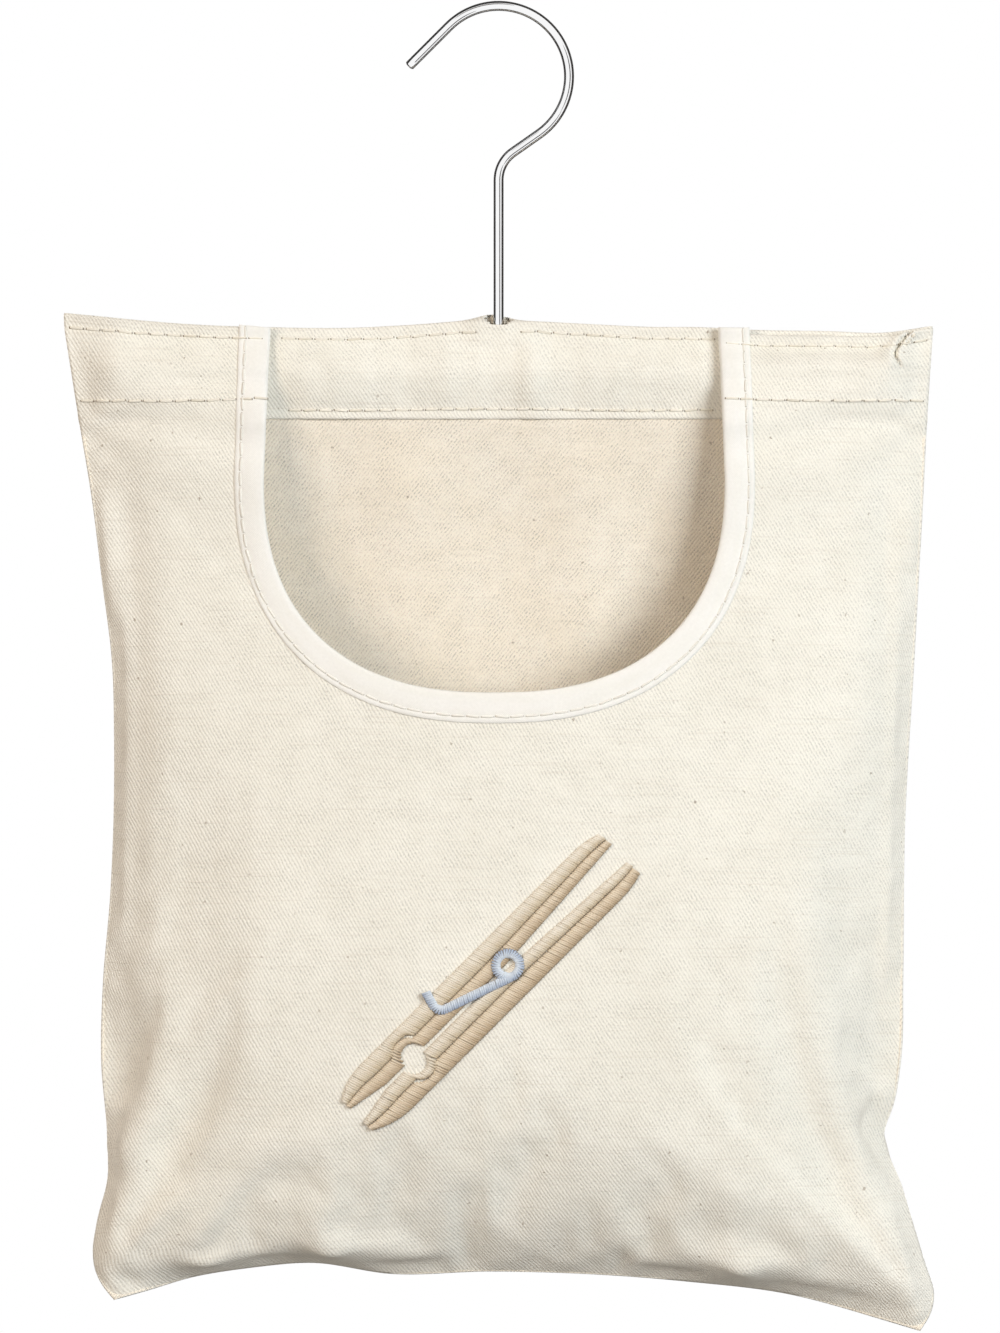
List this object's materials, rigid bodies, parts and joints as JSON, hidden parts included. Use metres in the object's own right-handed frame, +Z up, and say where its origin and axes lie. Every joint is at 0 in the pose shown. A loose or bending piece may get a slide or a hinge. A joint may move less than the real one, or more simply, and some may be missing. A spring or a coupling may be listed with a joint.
{
  "type": "peg bag",
  "caption": "Hanging cotton twill peg bag: a sewn pocket with a bound U-shaped mouth, a wooden dowel in its top casing and a swivelling steel wire hook.",
  "frame": {"origin": "the point inside the top of the hook where a washing line bears", "axes": "+Z up along the hook's stem, +X to the right of someone facing the mouth, so the mouth faces -Y"},
  "size_m": [0.305, 0.0667, 0.4632],
  "materials": {
    "steel": "bright plated wire",
    "wood": "plain turned softwood",
    "twill": "natural unbleached cotton twill",
    "tape": "plain woven off-white cotton tape",
    "thread": "natural sewing thread",
    "tan_thread": "tan satin stitch",
    "blue_thread": "pale blue satin stitch"
  },
  "bodies": {
    "hook": {"hook": "steel", "hook_washer": "steel"},
    "bag": {"dowel": "wood", "back_panel": "twill", "front_panel": "twill", "mouth_binding": "tape", "left_seam": "twill", "right_seam": "twill", "bottom_seam": "twill", "casing_edge_stitching_left": "thread", "casing_edge_stitching_right": "thread", "casing_hem_stitching": "thread", "left_ear_edge_stitching": "thread", "right_ear_edge_stitching": "thread", "left_ear_hem_stitching": "thread", "right_ear_hem_stitching": "thread", "binding_stitching": "thread", "embroidered_peg_upper": "tan_thread", "embroidered_peg_lower": "tan_thread", "embroidered_spring": "blue_thread"}
  },
  "joints": [
    {"name": "hook_swivel", "type": "hinge", "parent": "hook", "child": "bag", "pos_m": [0, 0, -0.1274], "axis": [0, 0, 1], "continuous": true}
  ]
}
